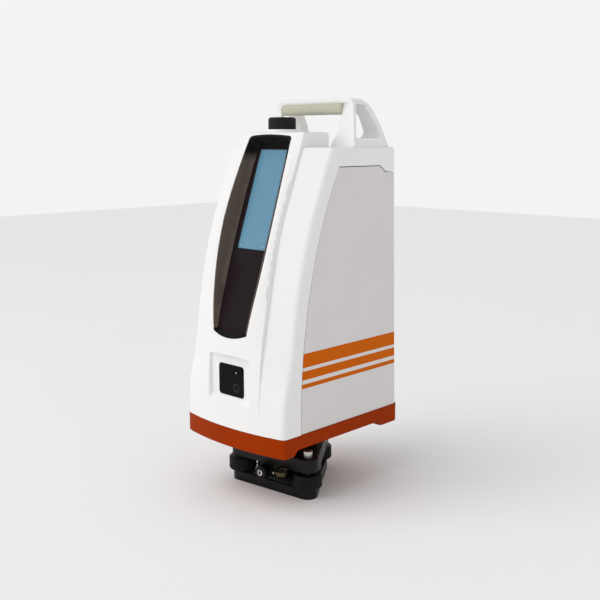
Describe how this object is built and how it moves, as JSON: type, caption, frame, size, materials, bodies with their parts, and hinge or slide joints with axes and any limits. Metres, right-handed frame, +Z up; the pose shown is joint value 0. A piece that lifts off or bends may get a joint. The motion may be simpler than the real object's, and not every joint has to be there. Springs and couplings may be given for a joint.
{
  "type": "terrestrial laser scanner",
  "caption": "Tall box-shaped laser scanner with a slanted front window, carrying handle and orange base, turning on a levelling tribrach.",
  "frame": {"origin": "centre of the tripod thread, in the underside of the tribrach base plate", "axes": "+Z up along the rotation axis of the head, -Y towards the window at rest, +X to the right seen from the window"},
  "size_m": [0.17, 0.2252, 0.4875],
  "materials": {
    "white_shell": "satin",
    "side_grey": "satin",
    "base_orange": "satin",
    "liner_brown_black": "matte",
    "black_gloss": "gloss",
    "window_glass": "gloss",
    "lens_glass": "gloss",
    "vial_glass": "gloss",
    "grip_pad": "matte",
    "cap_black": "matte",
    "flap_rubber": "matte",
    "black_plastic": "matte",
    "black_anodised": "anodised",
    "tribrach_enamel": "satin",
    "steel": "brushed",
    "spring_steel": "brushed",
    "brass": "machined",
    "aluminium": "machined",
    "mirror_coat": "polished",
    "motor_dark": "matte",
    "board_green": "satin",
    "battery_case": "matte",
    "light_pipe": "gloss"
  },
  "bodies": {
    "base": {"tribrach_base_plate": "tribrach_enamel", "spring_plate": "spring_steel"},
    "tribrach": {"tribrach_body": "tribrach_enamel", "foot_screw_caps": "steel", "level_ring": "brass", "level_vial": "vial_glass", "adapter_plug": "black_anodised", "spindle": "steel", "yaw_bearings": "steel", "motor_rotor": "motor_dark", "yaw_encoder_disc": "aluminium"},
    "lock_knob": {"lock_knob": "black_plastic"},
    "lock_ring": {"lock_ring": "steel"},
    "mirror": {"scan_mirror": "mirror_coat", "mirror_shaft": "steel"},
    "cap": {"top_cap": "cap_black"},
    "power_button": {"power_button": "black_plastic"},
    "battery_door": {"battery_door": "side_grey"},
    "door_latch": {"door_latch": "black_plastic"},
    "port_flap": {"port_flap": "flap_rubber"},
    "foot_screw_a": {"foot_screw_a": "steel", "foot_knob_a": "black_plastic"},
    "foot_screw_b": {"foot_screw_b": "steel", "foot_knob_b": "black_plastic"},
    "foot_screw_c": {"foot_screw_c": "steel", "foot_knob_c": "black_plastic"},
    "head": {"front_shell": "white_shell", "side_panel_left": "side_grey", "side_panel_right": "side_grey", "base_tray": "base_orange", "rear_cover": "side_grey", "rear_cover_screws": "steel", "window_liner": "liner_brown_black", "window_frame": "black_plastic", "window_glass": "window_glass", "camera_window": "black_gloss", "camera_barrel": "black_anodised", "camera_lens": "lens_glass", "handle": "white_shell", "handle_grip": "grip_pad", "handle_screws": "steel", "top_thread_insert": "steel", "antenna_connector": "brass", "chassis": "aluminium", "mirror_bracket": "aluminium", "mirror_bearings": "steel", "mirror_motor": "motor_dark", "laser_module": "black_anodised", "receiver_barrel": "black_anodised", "receiver_lens": "lens_glass", "battery_left": "battery_case", "battery_right": "battery_case", "main_board": "board_green", "bearing_housing": "aluminium", "motor_stator": "motor_dark", "yaw_encoder_reader": "black_plastic", "door_hinge_pin": "steel", "status_lights": "light_pipe", "data_socket": "black_plastic", "power_inlet": "steel"}
  },
  "joints": [
    {"name": "foot_screw_a_turn", "type": "hinge", "parent": "base", "child": "foot_screw_a", "pos_m": [-0.05079, -0.03556, 0.02], "axis": [0, 0, 1], "range_deg": [-1085, 1085]},
    {"name": "foot_screw_b_turn", "type": "hinge", "parent": "base", "child": "foot_screw_b", "pos_m": [0.05619, -0.0262, 0.02], "axis": [0, 0, 1], "range_deg": [-1085, 1085]},
    {"name": "foot_screw_c_turn", "type": "hinge", "parent": "base", "child": "foot_screw_c", "pos_m": [-0.0054, 0.06176, 0.02], "axis": [0, 0, 1], "range_deg": [-1085, 1085]},
    {"name": "tribrach_lift", "type": "slide", "parent": "base", "child": "tribrach", "axis": [0, 0, 1], "range_m": [-0.003, 0.003]},
    {"name": "lock_knob_turn", "type": "hinge", "parent": "tribrach", "child": "lock_knob", "pos_m": [0, -0.048, 0.024], "axis": [0, -1, 0], "range_deg": [0, 180]},
    {"name": "lock_ring_turn", "type": "hinge", "parent": "tribrach", "child": "lock_ring", "pos_m": [0, 0, 0.022], "axis": [0, 0, 1], "range_deg": [0, 12.1]},
    {"name": "head_yaw", "type": "hinge", "parent": "tribrach", "child": "head", "pos_m": [0, 0, 0.09], "axis": [0, 0, 1], "continuous": true},
    {"name": "mirror_spin", "type": "hinge", "parent": "head", "child": "mirror", "pos_m": [0, -0.008, 0.358], "axis": [1, 0, 0], "continuous": true},
    {"name": "cap_lift", "type": "slide", "parent": "head", "child": "cap", "axis": [0, 0, 1], "range_m": [0, 0.014]},
    {"name": "power_button_press", "type": "slide", "parent": "head", "child": "power_button", "axis": [0, -1, 0], "range_m": [0, 0.001], "stiffness_N_per_m": 600, "springref_m": -0.001},
    {"name": "battery_door_swing", "type": "hinge", "parent": "head", "child": "battery_door", "pos_m": [0, 0.10994, 0.129], "axis": [-1, 0, 0], "range_deg": [0, 90]},
    {"name": "door_latch_slide", "type": "slide", "parent": "battery_door", "child": "door_latch", "axis": [0, 0.032, -0.9995], "range_m": [0, 0.004], "stiffness_N_per_m": 300, "springref_m": -0.002},
    {"name": "port_flap_swing", "type": "hinge", "parent": "head", "child": "port_flap", "pos_m": [0, 0.10741, 0.352], "axis": [1, 0, 0], "range_deg": [0, 150]}
  ],
  "couplings": [
    {"joint": "foot_screw_a_turn", "follows": "tribrach_lift", "rad_per_m": -6283.2},
    {"joint": "foot_screw_b_turn", "follows": "tribrach_lift", "rad_per_m": -6283.2},
    {"joint": "foot_screw_c_turn", "follows": "tribrach_lift", "rad_per_m": -6283.2},
    {"joint": "lock_ring_turn", "follows": "lock_knob_turn", "ratio": 0.066667}
  ]
}
